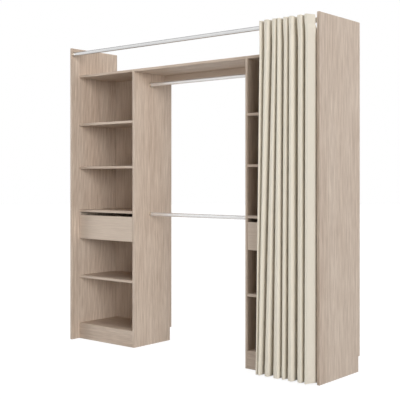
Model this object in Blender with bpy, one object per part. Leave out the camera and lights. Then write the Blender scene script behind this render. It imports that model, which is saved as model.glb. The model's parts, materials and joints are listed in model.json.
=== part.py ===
"""Curtain wardrobe: two open shelf columns, each with a drawer, a hanging bay between them
and a curtain that runs on a rod in front of everything.

Metres, +Z up, +X to the right, -Y to the front. The origin is on the floor, at the centre of
the whole footprint, curtain included.
"""

import math

import bmesh
import bpy
from mathutils import Matrix, Vector

# Carcass
OVERALL_WIDTH = 2.030
SIDE_HEIGHT = 2.030
SIDE_DEPTH = 0.440
BOARD_THICKNESS = 0.016
COLUMN_WIDTH = 0.555
COLUMN_HEIGHT = 1.846
COLUMN_SETBACK = 0.070
PLINTH_HEIGHT = 0.092
SKIRTING_NOTCH_HEIGHT = 0.090
SKIRTING_NOTCH_DEPTH = 0.016
BOARD_EDGE_BEVEL = 0.0008
JOINT_GAP = 0.0003
SIDES = (("left", -1), ("right", 1))

# Shelves, by their top faces: one over the bottom board, one over the drawer, and those above
FIRST_SHELF_RISE = 0.335
DRAWER_SHELF_TOP = 0.904
UPPER_SHELF_PITCH = 0.302
UPPER_SHELVES = 2

# Back panels, slid into grooves in the uprights
BACK_PANEL_THICKNESS = 0.003
BACK_PANEL_INSET = 0.012
GROOVE_DEPTH = 0.006
CUTTER_OVERRUN = 0.005

# Board and rail over the hanging bay
BAY_RAIL_HEIGHT = 0.060
BAY_RAIL_INSET = 0.046

# Hanging rails
RAIL_DIAMETER = 0.025
TUBE_WALL = 0.001
UPPER_RAIL_BELOW_TOP = 0.090
LOWER_RAIL_BELOW_UPPER = 0.875
RAIL_FROM_SIDE_FRONT = 0.233

# Curtain rod
ROD_DIAMETER = 0.025
ROD_BELOW_SIDE_TOP = 0.042
ROD_FROM_SIDE_FRONT = 0.020

# Sockets at the ends of the rails and of the rod
SOCKET_LENGTH = 0.011
SOCKET_WALL = 0.0028
SOCKET_FLANGE_THICKNESS = 0.0022
SOCKET_FLANGE_RIM = 0.0022
TUBE_SEAT_CLEARANCE = 0.0003
ROUND_STEPS = 28

# Drawers
DRAWER_FRONT_HEIGHT = 0.165
FINGER_GAP = 0.022
DRAWER_SIDE_GAP = 0.002
DRAWER_SIDE_THICKNESS = 0.012
DRAWER_SIDE_HEIGHT = 0.120
DRAWER_SIDE_LENGTH = 0.320
DRAWER_SIDE_RAISE = 0.018
DRAWER_BOTTOM_THICKNESS = 0.003
DRAWER_BOTTOM_RAISE = 0.010
DRAWER_BOTTOM_GROOVE = 0.005

# Drawer runners, one member on the upright and one on the drawer
RUNNER_SPACE = 0.0125
RUNNER_LENGTH = 0.300
RUNNER_HEIGHT = 0.027
RUNNER_SHEET = 0.0012
RUNNER_SLIDE_GAP = 0.0004
RUNNER_RAISE = 0.042
RUNNER_FRONT_CLEARANCE = 0.003
CABINET_RUNNER_REACH = 0.0092
DRAWER_RUNNER_REACH = 0.0088

# Curtain
CURTAIN_FRONT_REACH = 0.052
CURTAIN_ABOVE_ROD = 0.028
CURTAIN_OFF_FLOOR = 0.008
CLOTH_THICKNESS = 0.002
STACK_WIDTH_TOP = 0.352
STACK_WIDTH_BOTTOM = 0.387
STACK_END_CLEARANCE = 0.013
FOLD_BACK_CLEARANCE = 0.030
FOLDS_DEEPEN_BELOW_ROD = 0.033
FOLDS_DEEP_BELOW_ROD = 0.098
CURTAIN_SPLIT_ABOVE_DRAWER = 0.024
CURTAIN_SPLIT_GAP = 0.0003
TAB_WIDTH = 0.018
TAB_THICKNESS = 0.0015
TAB_CLEARANCE = 0.0004
TAB_SEAM = 0.0009
TAB_STEPS = 8

FOLDS = 8
FOLDS_IN_GROUP = 2
POINTS_IN_LEG = 4
GROUP_END_SHARE = 0.12
GROUP_GAP_SHARE = 0.01
OVERHANG_SHARE = 0.44
LAST_LEG_OVERHANG_SHARE = 0.9

# Places of the folds across the stack, from its free edge: each back tip, then each front nose
BACK_TIPS_TOP_SHARES = (0, 0.115, 0.267, 0.372, 0.489, 0.591, 0.747, 0.882, 1)
BACK_TIPS_BOTTOM_SHARES = (0, 0.078, 0.204, 0.346, 0.486, 0.597, 0.755, 0.879, 1)
NOSES_TOP_SHARES = (0.058, 0.188, 0.324, 0.429, 0.541, 0.665, 0.817, 0.957)
NOSES_BOTTOM_SHARES = (0.043, 0.137, 0.275, 0.417, 0.545, 0.673, 0.822, 0.953)
NOSE_REACH_SHARES = (0.90, 0.98, 0.92, 0.97, 0.91, 1, 0.94, 1)

# Places that follow from the sizes
BACK_Y = (SIDE_DEPTH + CURTAIN_FRONT_REACH) / 2
SIDE_FRONT_Y = BACK_Y - SIDE_DEPTH
COLUMN_FRONT_Y = SIDE_FRONT_Y + COLUMN_SETBACK
BACK_PANEL_BACK_Y = BACK_Y - BACK_PANEL_INSET
BACK_PANEL_FRONT_Y = BACK_PANEL_BACK_Y - BACK_PANEL_THICKNESS
SHELF_BACK_Y = BACK_PANEL_FRONT_Y - JOINT_GAP
BOTTOM_BOARD_TOP = PLINTH_HEIGHT + BOARD_THICKNESS
SIDE_INNER_X = OVERALL_WIDTH / 2 - BOARD_THICKNESS
BAY_HALF_WIDTH = OVERALL_WIDTH / 2 - COLUMN_WIDTH
COLUMN_INNER_X = BAY_HALF_WIDTH + BOARD_THICKNESS
COLUMN_MID_X = (SIDE_INNER_X + COLUMN_INNER_X) / 2
COLUMN_CLEAR_WIDTH = SIDE_INNER_X - COLUMN_INNER_X
DRAWER_FRONT_TOP = DRAWER_SHELF_TOP - BOARD_THICKNESS - FINGER_GAP
DRAWER_FRONT_BOTTOM = DRAWER_FRONT_TOP - DRAWER_FRONT_HEIGHT
ROD_Y = SIDE_FRONT_Y + ROD_FROM_SIDE_FRONT
ROD_Z = SIDE_HEIGHT - ROD_BELOW_SIDE_TOP
RAIL_Y = SIDE_FRONT_Y + RAIL_FROM_SIDE_FRONT
UPPER_RAIL_Z = COLUMN_HEIGHT - UPPER_RAIL_BELOW_TOP
LOWER_RAIL_Z = UPPER_RAIL_Z - LOWER_RAIL_BELOW_UPPER

CURTAIN_TOP = ROD_Z + CURTAIN_ABOVE_ROD
CURTAIN_SPLIT_Z = DRAWER_FRONT_TOP + CURTAIN_SPLIT_ABOVE_DRAWER
CURTAIN_FRONT_Y = SIDE_FRONT_Y - CURTAIN_FRONT_REACH
TAB_FLAT_TO_CORNER = 1 / math.cos(math.pi / TAB_STEPS)
TAB_INNER_FLAT = ROD_DIAMETER / 2 + TAB_CLEARANCE
TAB_OUTER_FLAT = TAB_INNER_FLAT + TAB_THICKNESS
HEADING_BACK_Y = ROD_Y - TAB_OUTER_FLAT + TAB_SEAM
DEEP_FOLD_BACK_Y = COLUMN_FRONT_Y - FOLD_BACK_CLEARANCE
STACK_END_X = SIDE_INNER_X - STACK_END_CLEARANCE


def make_material(name, colour, roughness, metallic=0.0):
    material = bpy.data.materials.new(name)
    material.use_nodes = True
    shader = material.node_tree.nodes["Principled BSDF"]
    shader.inputs["Base Color"].default_value = (*colour, 1.0)
    shader.inputs["Roughness"].default_value = roughness
    shader.inputs["Metallic"].default_value = metallic
    return material


def add_object(name, bm, colour_of, location=(0, 0, 0), parent=None):
    """Puts a finished bmesh into the scene as one named object with its own material."""
    bmesh.ops.recalc_face_normals(bm, faces=bm.faces)
    mesh = bpy.data.meshes.new(name)
    bm.to_mesh(mesh)
    bm.free()
    obj = bpy.data.objects.new(name, mesh)
    obj.data.materials.append(make_material(name, *colour_of))
    obj.location = location
    bpy.context.scene.collection.objects.link(obj)
    if parent is not None:
        obj.parent = parent
        obj.location = Vector(location) - parent.location
    return obj


def add_empty(name, location):
    empty = bpy.data.objects.new(name, None)
    empty.location = location
    bpy.context.scene.collection.objects.link(empty)
    return empty


def add_bevel(obj, width):
    bevel = obj.modifiers.new("edges", "BEVEL")
    bevel.width = width
    bevel.segments = 1
    bevel.limit_method = "ANGLE"


def add_boolean(obj, tool, operation):
    tool.hide_render = True
    tool.display_type = "WIRE"
    boolean = obj.modifiers.new(tool.name, "BOOLEAN")
    boolean.operation = operation
    boolean.object = tool
    boolean.solver = "EXACT"


def block(low, high):
    """A bmesh box between two corners, centred on its own origin, and the place of its centre."""
    low, high = Vector(low), Vector(high)
    bm = bmesh.new()
    bmesh.ops.create_cube(bm, size=1)
    bmesh.ops.scale(bm, vec=high - low, verts=bm.verts)
    return bm, (low + high) / 2


def add_board(name, low, high, colour_of, parent=None, bevel=BOARD_EDGE_BEVEL):
    bm, centre = block(low, high)
    obj = add_object(name, bm, colour_of, centre, parent)
    if bevel:
        add_bevel(obj, bevel)
    return obj


def extruded(outline, start, depth):
    """A bmesh from an outline of points, each given by start(point), pushed along depth."""
    bm = bmesh.new()
    face = bm.faces.new([bm.verts.new(start(point)) for point in outline])
    moved = bmesh.ops.extrude_face_region(bm, geom=[face])["geom"]
    bmesh.ops.translate(bm, vec=depth, verts=[v for v in moved if isinstance(v, bmesh.types.BMVert)])
    return bm


def turned(profile, steps):
    """A bmesh ring about the X axis from a closed profile of (along, radius) points."""
    bm = bmesh.new()
    verts = [bm.verts.new((along, 0, radius)) for along, radius in profile]
    edges = [bm.edges.new(pair) for pair in zip(verts, verts[1:] + verts[:1])]
    bmesh.ops.spin(
        bm, geom=verts + edges, axis=(1, 0, 0), cent=(0, 0, 0),
        angle=math.tau, steps=steps, use_merge=True,
    )
    return bm


def smooth(obj):
    obj.data.shade_smooth()
    obj.data.set_sharp_from_angle(angle=math.radians(40))


WOOD = ((0.47, 0.37, 0.30), 0.55)
DRAWER_WOOD = ((0.44, 0.35, 0.28), 0.55)
BACK_BOARD = ((0.45, 0.36, 0.29), 0.6)
CHROME = ((0.72, 0.73, 0.75), 0.18, 1.0)
SOCKET = ((0.55, 0.56, 0.58), 0.3, 1.0)
STEEL = ((0.62, 0.62, 0.62), 0.35, 1.0)
CLOTH = ((0.76, 0.70, 0.60), 0.95)


def add_upright(name, outer_x, inner_x, front_y, height):
    """A full-depth upright with the skirting notch at its foot and the groove for the back panel."""
    notch_y = BACK_Y - SKIRTING_NOTCH_DEPTH
    outline = (
        (front_y, 0), (notch_y, 0), (notch_y, SKIRTING_NOTCH_HEIGHT),
        (BACK_Y, SKIRTING_NOTCH_HEIGHT), (BACK_Y, height), (front_y, height),
    )
    bm = extruded(outline, lambda point: (0, *point), (inner_x - outer_x, 0, 0))
    bmesh.ops.translate(bm, vec=(0, -front_y, 0), verts=bm.verts)
    upright = add_object(name, bm, WOOD, (outer_x, front_y, 0))
    add_bevel(upright, BOARD_EDGE_BEVEL)
    into_board = math.copysign(GROOVE_DEPTH, outer_x - inner_x)
    past_face = math.copysign(CUTTER_OVERRUN, inner_x - outer_x)
    groove_x = sorted((inner_x + into_board, inner_x + past_face))
    low = (groove_x[0], BACK_PANEL_FRONT_Y - JOINT_GAP, PLINTH_HEIGHT - JOINT_GAP)
    high = (groove_x[1], BACK_PANEL_BACK_Y + JOINT_GAP, COLUMN_HEIGHT + JOINT_GAP)
    cutter = add_board(name + "_groove", low, high, WOOD, bevel=None)
    add_boolean(upright, cutter, "DIFFERENCE")


def add_uprights(side, sign):
    outer_x, bay_x = sign * OVERALL_WIDTH / 2, sign * BAY_HALF_WIDTH
    add_upright(side + "_side_panel", outer_x, sign * SIDE_INNER_X, SIDE_FRONT_Y, SIDE_HEIGHT)
    add_upright(side + "_inner_panel", bay_x, sign * COLUMN_INNER_X, COLUMN_FRONT_Y, COLUMN_HEIGHT)


def add_column_boards(side, sign):
    """The boards that span one column: bottom, shelves, top, plinth and back panel."""
    half = COLUMN_CLEAR_WIDTH / 2 - JOINT_GAP
    low_x = sign * COLUMN_MID_X - half
    high_x = sign * COLUMN_MID_X + half
    tops = {side + "_bottom_board": BOTTOM_BOARD_TOP, side + "_top_board": COLUMN_HEIGHT}
    shelf_tops = [BOTTOM_BOARD_TOP + FIRST_SHELF_RISE]
    shelf_tops += [DRAWER_SHELF_TOP + number * UPPER_SHELF_PITCH for number in range(UPPER_SHELVES + 1)]
    for number, top in enumerate(shelf_tops, start=1):
        tops[f"{side}_shelf_{number}"] = top
    for name, top in tops.items():
        low = (low_x, COLUMN_FRONT_Y, top - BOARD_THICKNESS)
        add_board(name, low, (high_x, SHELF_BACK_Y, top), WOOD)
    plinth_back_y = COLUMN_FRONT_Y + BOARD_THICKNESS
    plinth_top = PLINTH_HEIGHT - JOINT_GAP
    add_board(side + "_plinth", (low_x, COLUMN_FRONT_Y, 0), (high_x, plinth_back_y, plinth_top), WOOD)
    reach = GROOVE_DEPTH - JOINT_GAP
    low = (low_x - reach, BACK_PANEL_FRONT_Y, PLINTH_HEIGHT)
    high = (high_x + reach, BACK_PANEL_BACK_Y, COLUMN_HEIGHT)
    add_board(side + "_back_panel", low, high, BACK_BOARD, bevel=None)


def add_bay_boards():
    half = BAY_HALF_WIDTH - JOINT_GAP
    board_bottom = COLUMN_HEIGHT - BOARD_THICKNESS
    add_board("bay_top_board", (-half, COLUMN_FRONT_Y, board_bottom), (half, BACK_Y, COLUMN_HEIGHT), WOOD)
    rail_back_y = BACK_Y - BAY_RAIL_INSET
    rail_top = board_bottom - JOINT_GAP
    low = (-half, rail_back_y - BOARD_THICKNESS, rail_top - BAY_RAIL_HEIGHT)
    add_board("bay_back_rail", low, (half, rail_back_y, rail_top), WOOD)


def add_tube(name, diameter, half_length, place):
    outer = diameter / 2
    inner = outer - TUBE_WALL
    profile = ((-half_length, inner), (half_length, inner), (half_length, outer), (-half_length, outer))
    tube = add_object(name, turned(profile, ROUND_STEPS), CHROME, place)
    smooth(tube)


def add_socket(name, diameter, face_x, sign, place):
    """A flanged ring on an upright's face that holds the end of a tube."""
    bore = diameter / 2 + TUBE_SEAT_CLEARANCE
    collar = bore + SOCKET_WALL
    flange = collar + SOCKET_FLANGE_RIM
    profile = (
        (0, bore), (SOCKET_LENGTH, bore), (SOCKET_LENGTH, collar),
        (SOCKET_FLANGE_THICKNESS, collar), (SOCKET_FLANGE_THICKNESS, flange), (0, flange),
    )
    bm = turned([(-sign * along, radius) for along, radius in profile], ROUND_STEPS)
    socket = add_object(name, bm, SOCKET, (sign * (face_x - JOINT_GAP), *place))
    smooth(socket)


def add_rail(name, diameter, face_x, y, z):
    """A tube between two facing uprights, and the socket at each of its ends."""
    add_tube(name, diameter, face_x - 2 * JOINT_GAP, (0, y, z))
    for side, sign in SIDES:
        add_socket(f"{name}_{side}_socket", diameter, face_x, sign, (y, z))


def add_drawer_box(side, middle_x, slide):
    """Front, sides, back and bottom of one drawer, open at the top, with the bottom in a groove."""
    half_front = COLUMN_CLEAR_WIDTH / 2 - DRAWER_SIDE_GAP
    half_box = COLUMN_CLEAR_WIDTH / 2 - RUNNER_SPACE
    half_inside = half_box - DRAWER_SIDE_THICKNESS
    front_back_y = COLUMN_FRONT_Y + BOARD_THICKNESS
    box_front_y = front_back_y + JOINT_GAP
    box_back_y = box_front_y + DRAWER_SIDE_LENGTH
    box_bottom = DRAWER_FRONT_BOTTOM + DRAWER_SIDE_RAISE
    box_top = box_bottom + DRAWER_SIDE_HEIGHT

    half_bottom = half_inside + DRAWER_BOTTOM_GROOVE
    bottom_z = box_bottom + DRAWER_BOTTOM_RAISE
    low = Vector((middle_x - half_bottom, front_back_y - DRAWER_BOTTOM_GROOVE, bottom_z))
    high = Vector((middle_x + half_bottom, box_back_y, bottom_z + DRAWER_BOTTOM_THICKNESS))
    add_board(side + "_drawer_bottom", low, high, BACK_BOARD, slide, bevel=None)
    back_bottom = high.z + JOINT_GAP
    low -= Vector((JOINT_GAP, JOINT_GAP, JOINT_GAP))
    high += Vector((JOINT_GAP, CUTTER_OVERRUN, JOINT_GAP))
    groove = add_board(side + "_drawer_groove", low, high, DRAWER_WOOD, slide, bevel=None)

    low = (middle_x - half_front, COLUMN_FRONT_Y, DRAWER_FRONT_BOTTOM)
    high = (middle_x + half_front, front_back_y, DRAWER_FRONT_TOP)
    grooved = [add_board(side + "_drawer_front", low, high, DRAWER_WOOD, slide)]
    for hand, sign in SIDES:
        low_x, high_x = sorted((middle_x + sign * half_box, middle_x + sign * half_inside))
        low, high = (low_x, box_front_y, box_bottom), (high_x, box_back_y, box_top)
        grooved.append(add_board(f"{side}_drawer_{hand}_side", low, high, DRAWER_WOOD, slide))
    for board in grooved:
        add_boolean(board, groove, "DIFFERENCE")

    half_back = half_inside - JOINT_GAP
    low = (middle_x - half_back, box_back_y - DRAWER_SIDE_THICKNESS, back_bottom)
    high = (middle_x + half_back, box_back_y, box_top)
    add_board(side + "_drawer_back", low, high, DRAWER_WOOD, slide)


def channel_outline(web_x, lip_x, bottom, top):
    """A channel section in X and Z: a web at web_x and two flanges that reach to lip_x."""
    inner_x = web_x + math.copysign(RUNNER_SHEET, lip_x - web_x)
    low, high = bottom + RUNNER_SHEET, top - RUNNER_SHEET
    return (
        (web_x, bottom), (lip_x, bottom), (lip_x, low), (inner_x, low),
        (inner_x, high), (lip_x, high), (lip_x, top), (web_x, top),
    )


def add_runners(side, middle_x, slide):
    """A channel on each upright, and inside it the channel that the drawer's side carries."""
    start_y = COLUMN_FRONT_Y + BOARD_THICKNESS + RUNNER_FRONT_CLEARANCE
    bottom = DRAWER_FRONT_BOTTOM + DRAWER_SIDE_RAISE + RUNNER_RAISE
    top = bottom + RUNNER_HEIGHT
    play = RUNNER_SHEET + RUNNER_SLIDE_GAP
    for hand, sign in SIDES:
        upright_x = middle_x + sign * (COLUMN_CLEAR_WIDTH / 2 - JOINT_GAP)
        drawer_x = middle_x + sign * (COLUMN_CLEAR_WIDTH / 2 - RUNNER_SPACE + JOINT_GAP)
        cabinet = channel_outline(upright_x, upright_x - sign * CABINET_RUNNER_REACH, bottom, top)
        drawer = channel_outline(drawer_x, drawer_x + sign * DRAWER_RUNNER_REACH, bottom + play, top - play)
        for member, outline, parent in (("cabinet", cabinet, None), ("drawer", drawer, slide)):
            bm = extruded(outline, lambda point: (point[0], start_y, point[1]), (0, RUNNER_LENGTH, 0))
            place = slide.location if parent else Vector((0, 0, 0))
            bmesh.ops.translate(bm, vec=-place, verts=bm.verts)
            add_object(f"{side}_{member}_runner_{hand}", bm, STEEL, place, parent)


def add_drawer(side, sign):
    middle_x = sign * COLUMN_MID_X
    slide = add_empty(side + "_drawer_slide", Vector((middle_x, COLUMN_FRONT_Y, DRAWER_FRONT_BOTTOM)))
    add_drawer_box(side, middle_x, slide)
    add_runners(side, middle_x, slide)


def mix(first, second, share):
    return first + (second - first) * share


def stack_x(top_share, bottom_share, z):
    """The X of a place across the curtain at height z."""
    down = (CURTAIN_TOP - z) / (CURTAIN_TOP - CURTAIN_OFF_FLOOR)
    from_end = mix(STACK_WIDTH_TOP * (1 - top_share), STACK_WIDTH_BOTTOM * (1 - bottom_share), down)
    return STACK_END_X - from_end


def fold_back_y(z):
    """The back of the folds: in front of the rod at the heading, deeper below it."""
    share = (ROD_Z - FOLDS_DEEPEN_BELOW_ROD - z) / (FOLDS_DEEP_BELOW_ROD - FOLDS_DEEPEN_BELOW_ROD)
    eased = min(max(share, 0), 1)
    return mix(HEADING_BACK_Y, DEEP_FOLD_BACK_Y, eased) - CLOTH_THICKNESS / 2


def cloth_point(along, z):
    """The middle of the cloth at height z; along counts folds from the free edge, back tip to back tip."""
    fold = min(int(along), FOLDS - 1)
    legs = 2 * (along - fold)
    forward = legs <= 1
    leg = legs if forward else legs - 1
    tip = fold if forward else fold + 1
    tip_x = stack_x(BACK_TIPS_TOP_SHARES[tip], BACK_TIPS_BOTTOM_SHARES[tip], z)
    nose_x = stack_x(NOSES_TOP_SHARES[fold], NOSES_BOTTOM_SHARES[fold], z)
    start_x, end_x = (tip_x, nose_x) if forward else (nose_x, tip_x)
    overhang = LAST_LEG_OVERHANG_SHARE if tip == FOLDS else OVERHANG_SHARE
    x = mix(start_x, end_x, leg) + overhang * (end_x - start_x) * math.sin(math.tau * leg)
    back_y = fold_back_y(z)
    reach = NOSE_REACH_SHARES[fold] * (back_y - CURTAIN_FRONT_Y - CLOTH_THICKNESS / 2)
    forward_share = (1 - math.cos(math.pi * leg)) / 2
    if not forward:
        forward_share = 1 - forward_share
    return x, back_y - reach * forward_share


def cloth_places(group):
    """Where the cloth of one group of folds is read, as folds from the free edge."""
    first, last = group * FOLDS_IN_GROUP, (group + 1) * FOLDS_IN_GROUP
    start = first + GROUP_END_SHARE + GROUP_GAP_SHARE if group > 0 else first
    end = last + GROUP_END_SHARE if last < FOLDS else last
    points_in_fold = 2 * POINTS_IN_LEG
    steps = [first + step / points_in_fold for step in range(points_in_fold * FOLDS_IN_GROUP + 1)]
    return [start] + [place for place in steps if start < place < end] + [end]


def vert_above(vert, risen):
    """The one of the risen points that grew from this one."""
    for edge in vert.link_edges:
        if edge.other_vert(vert) in risen:
            return edge.other_vert(vert)


def cloth_sheet(group, heights, place):
    """One group of folds as a sheet without thickness, its lowest row first."""
    bm = bmesh.new()
    places = cloth_places(group)
    row = [bm.verts.new((*cloth_point(along, heights[0]), heights[0])) for along in places]
    edges = [bm.edges.new(pair) for pair in zip(row, row[1:])]
    for z in heights[1:]:
        grown = bmesh.ops.extrude_edge_only(bm, edges=edges)["geom"]
        risen = {item for item in grown if isinstance(item, bmesh.types.BMVert)}
        grown_edges = [item for item in grown if isinstance(item, bmesh.types.BMEdge)]
        edges = [edge for edge in grown_edges if risen.issuperset(edge.verts)]
        row = [vert_above(vert, risen) for vert in row]
        for vert, along in zip(row, places):
            vert.co = (*cloth_point(along, z), z)
    bmesh.ops.translate(bm, vec=-Vector(place), verts=bm.verts)
    return bm


def add_cloth(name, group, heights, hinge):
    cloth = add_object(name, cloth_sheet(group, heights, hinge.location), CLOTH, hinge.location, hinge)
    thicken = cloth.modifiers.new("cloth", "SOLIDIFY")
    thicken.thickness = CLOTH_THICKNESS
    thicken.offset = 0
    thicken.use_even_offset = True
    smooth(cloth)
    return cloth


def tab_middles(group):
    """X of each tab of one group: on its middle back tip, and just inside the curtain's two edges."""
    tips = [group * FOLDS_IN_GROUP + FOLDS_IN_GROUP // 2]
    if group == 0:
        tips.insert(0, 0)
    if group == FOLDS // FOLDS_IN_GROUP - 1:
        tips.append(FOLDS)
    inset = {0: TAB_WIDTH / 2, FOLDS: -TAB_WIDTH / 2}
    return [
        stack_x(BACK_TIPS_TOP_SHARES[tip], BACK_TIPS_BOTTOM_SHARES[tip], ROD_Z) + inset.get(tip, 0)
        for tip in tips
    ]


def add_tabs(cloth, group, hinge):
    """The loops behind the heading that hang the curtain on its rod."""
    half = TAB_WIDTH / 2
    inner, outer = TAB_INNER_FLAT * TAB_FLAT_TO_CORNER, TAB_OUTER_FLAT * TAB_FLAT_TO_CORNER
    profile = ((-half, inner), (half, inner), (half, outer), (-half, outer))
    flats_square = Matrix.Rotation(math.pi / TAB_STEPS, 3, "X")
    for number, middle_x in enumerate(tab_middles(group), start=1):
        bm = turned(profile, TAB_STEPS)
        bmesh.ops.rotate(bm, matrix=flats_square, cent=(0, 0, 0), verts=bm.verts)
        tab = add_object(f"{cloth.name}_tab_{number}", bm, CLOTH, (middle_x, ROD_Y, ROD_Z), hinge)
        add_boolean(cloth, tab, "UNION")


def add_curtain():
    """The curtain's groups of folds, each in an upper and a lower length.

    The upper lengths swing on the rod. The lower ones turn on the front of the folds, just
    above the drawers, so that cloth pushed forward there still hangs straight down.
    """
    deepen_z = ROD_Z - FOLDS_DEEPEN_BELOW_ROD
    deep_z = ROD_Z - FOLDS_DEEP_BELOW_ROD
    upper = (CURTAIN_SPLIT_Z + CURTAIN_SPLIT_GAP, deep_z, deepen_z, CURTAIN_TOP)
    lower = (CURTAIN_OFF_FLOOR, CURTAIN_SPLIT_Z)
    swing = add_empty("curtain_swing", Vector((STACK_END_X, ROD_Y, ROD_Z)))
    knee = add_empty("curtain_knee", Vector((STACK_END_X, CURTAIN_FRONT_Y, CURTAIN_SPLIT_Z)))
    for group in range(FOLDS // FOLDS_IN_GROUP):
        cloth = add_cloth(f"curtain_upper_{group + 1}", group, upper, swing)
        add_tabs(cloth, group, swing)
        add_cloth(f"curtain_lower_{group + 1}", group, lower, knee)


def main():
    for obj in list(bpy.data.objects):
        bpy.data.objects.remove(obj, do_unlink=True)
    for side, sign in SIDES:
        add_uprights(side, sign)
        add_column_boards(side, sign)
        add_drawer(side, sign)
    add_bay_boards()
    add_rail("upper_rail", RAIL_DIAMETER, BAY_HALF_WIDTH, RAIL_Y, UPPER_RAIL_Z)
    add_rail("lower_rail", RAIL_DIAMETER, BAY_HALF_WIDTH, RAIL_Y, LOWER_RAIL_Z)
    add_rail("curtain_rod", ROD_DIAMETER, SIDE_INNER_X, ROD_Y, ROD_Z)
    add_curtain()


main()
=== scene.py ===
"""Curtain wardrobe: oak decor, metal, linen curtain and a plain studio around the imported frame.

Laid out as an add-on and run as a script. Metres, +Z up, the front faces -Y.
"""

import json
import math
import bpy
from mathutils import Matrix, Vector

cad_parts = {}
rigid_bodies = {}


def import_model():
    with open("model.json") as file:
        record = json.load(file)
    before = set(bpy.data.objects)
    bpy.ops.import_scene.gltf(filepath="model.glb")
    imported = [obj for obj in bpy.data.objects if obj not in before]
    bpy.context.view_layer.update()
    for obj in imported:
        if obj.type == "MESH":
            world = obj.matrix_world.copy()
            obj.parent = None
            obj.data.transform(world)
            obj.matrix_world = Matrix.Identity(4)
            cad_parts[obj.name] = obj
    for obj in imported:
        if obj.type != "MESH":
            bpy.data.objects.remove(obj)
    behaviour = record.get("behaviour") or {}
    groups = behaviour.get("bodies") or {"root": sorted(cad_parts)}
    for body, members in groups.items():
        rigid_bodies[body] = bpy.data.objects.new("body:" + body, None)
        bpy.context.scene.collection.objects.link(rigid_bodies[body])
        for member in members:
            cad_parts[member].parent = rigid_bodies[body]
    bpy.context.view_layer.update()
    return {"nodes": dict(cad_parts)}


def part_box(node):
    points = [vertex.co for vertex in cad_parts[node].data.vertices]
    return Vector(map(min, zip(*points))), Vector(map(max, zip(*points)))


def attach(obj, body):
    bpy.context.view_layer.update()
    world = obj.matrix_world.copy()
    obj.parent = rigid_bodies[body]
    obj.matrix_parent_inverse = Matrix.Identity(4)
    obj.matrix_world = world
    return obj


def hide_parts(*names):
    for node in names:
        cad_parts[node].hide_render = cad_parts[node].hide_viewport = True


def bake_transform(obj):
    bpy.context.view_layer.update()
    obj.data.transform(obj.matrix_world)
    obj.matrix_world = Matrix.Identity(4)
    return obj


bl_info = {
    "name": "Curtain Wardrobe",
    "version": (1, 0, 0),
    "blender": (4, 5, 0),
    "location": "3D View > Sidebar > Wardrobe",
    "description": "Finishes an open wardrobe with two drawers and hangs its linen curtain",
    "category": "Add Mesh",
}

import bmesh
import bpy
import numpy as np
from mathutils import Matrix, Vector, noise

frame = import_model()
NODES = frame["nodes"]

# The gathered curtain in metres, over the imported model's solids of cloth
FOLDS = 8
CURTAIN_TOP = 2.016
CURTAIN_BOTTOM = 0.008
KNEE_Z = 0.890
ROD_Y = -0.174
ROD_Z = 1.988
STACK_END_X = 0.990
STACK_WIDTH_TOP = 0.352
STACK_WIDTH_BOTTOM = 0.387
NOSE_FRONT_Y = -0.245

# At the heading the folds' backs stay in front of the rod, and the last fold keeps off the side panel.
# From DEEPEN_Z down to DEEP_Z, with an ease past both, the folds open out to their full depth. The middle
# of the cloth lies BACK_CLEARANCE in front of its back.
HEADING_BACK_Y = -0.1875
HEADING_INSET = 0.006
DEEPEN_Z = 1.955
DEEP_Z = 1.890
DEEP_EASE = 0.012
DEEP_BACK_Y = -0.154
BACK_CLEARANCE = 0.001

# How far a fold's legs bow, as shares of their run across: all folds but the last, and its two legs
OVERHANG = 0.28
LAST_OVERHANGS = (0.22, -0.18)

# Places of the folds' back tips and front noses, as shares of the stack's width from the free edge
TIPS_TOP = (0.004, 0.058, 0.212, 0.345, 0.424, 0.561, 0.684, 0.836, 1)
TIPS_BOTTOM = (0.008, 0.072, 0.130, 0.275, 0.452, 0.545, 0.700, 0.845, 1)
NOSES_TOP = (0.032, 0.178, 0.321, 0.398, 0.535, 0.627, 0.811, 0.939)
NOSES_BOTTOM = (0.048, 0.100, 0.248, 0.427, 0.523, 0.669, 0.822, 0.920)
NOSE_REACHES = (0.90, 0.98, 0.92, 0.97, 0.91, 1, 0.94, 1)

# Strips of cloth as (first tip, last tip, and the two tips between which its own group of folds gives way to
# the next), and loops as (tip it is sewn to, group that carries it)
STRIPS = ((0, 3, 1, 3), (3, 5, 3, 5), (5, 8, 5, 7))
LOOPS = ((0, 1), (1, 1), (3, 2), (5, 3), (7, 4), (8, 4))

# The grid of the cloth, and the section along which its width is measured
COLUMNS_IN_LEG = 14
ROW_STEP = 0.026
CLOSE_ROW_STEP = 0.008
HEM_STEP = 0.002
SECTION_SAMPLES = 3200
SECTION_Z = 1.0

# The cut cloth, its single and doubled thickness, and its hems
CLOTH_THIN = 0.0013
CLOTH_HEM = 0.0030
SIDE_HEM = 0.024
BOTTOM_HEM = 0.070
HEADING_HEM_Z = 1.968

# How close counts as on a line, and how doubled the cloth is at a hem's edge and in its stitches' groove
ON_LINE = 0.0005
HEM_EDGE_SHARE, HEM_GROOVE_SHARE = 0.55, 0.25

# Stitches: the upper row's height, their spacing and the half sizes of one stitch
TOP_STITCHES_Z = 2.006
STITCH_PITCH = 0.0046
STITCH_LENGTH, STITCH_RISE, STITCH_WIDTH = 0.0017, 0.00125, 0.00036

# The heading tape, and the loops, which wrap the rod by LOOP_WRAP degrees to each side of its back
TAPE_OFFSET = 0.0022
TAPE_THICKNESS = 0.0009
TAPE_ROWS = (1.9705, 1.974, 1.982, 1.99, 1.998, 2.0035)
TAPE_END_FOLDS = 0.02
LOOP_RADIUS = 0.0135
LOOP_SEWN_RISE = 0.016
LOOP_SEWN_DEPTH = 0.0015
LOOP_WRAP = 140
LOOP_HALF_WIDTH = 0.009
LOOP_SELVEDGE = 0.0008
LOOP_THICKNESS = 0.0011

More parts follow.
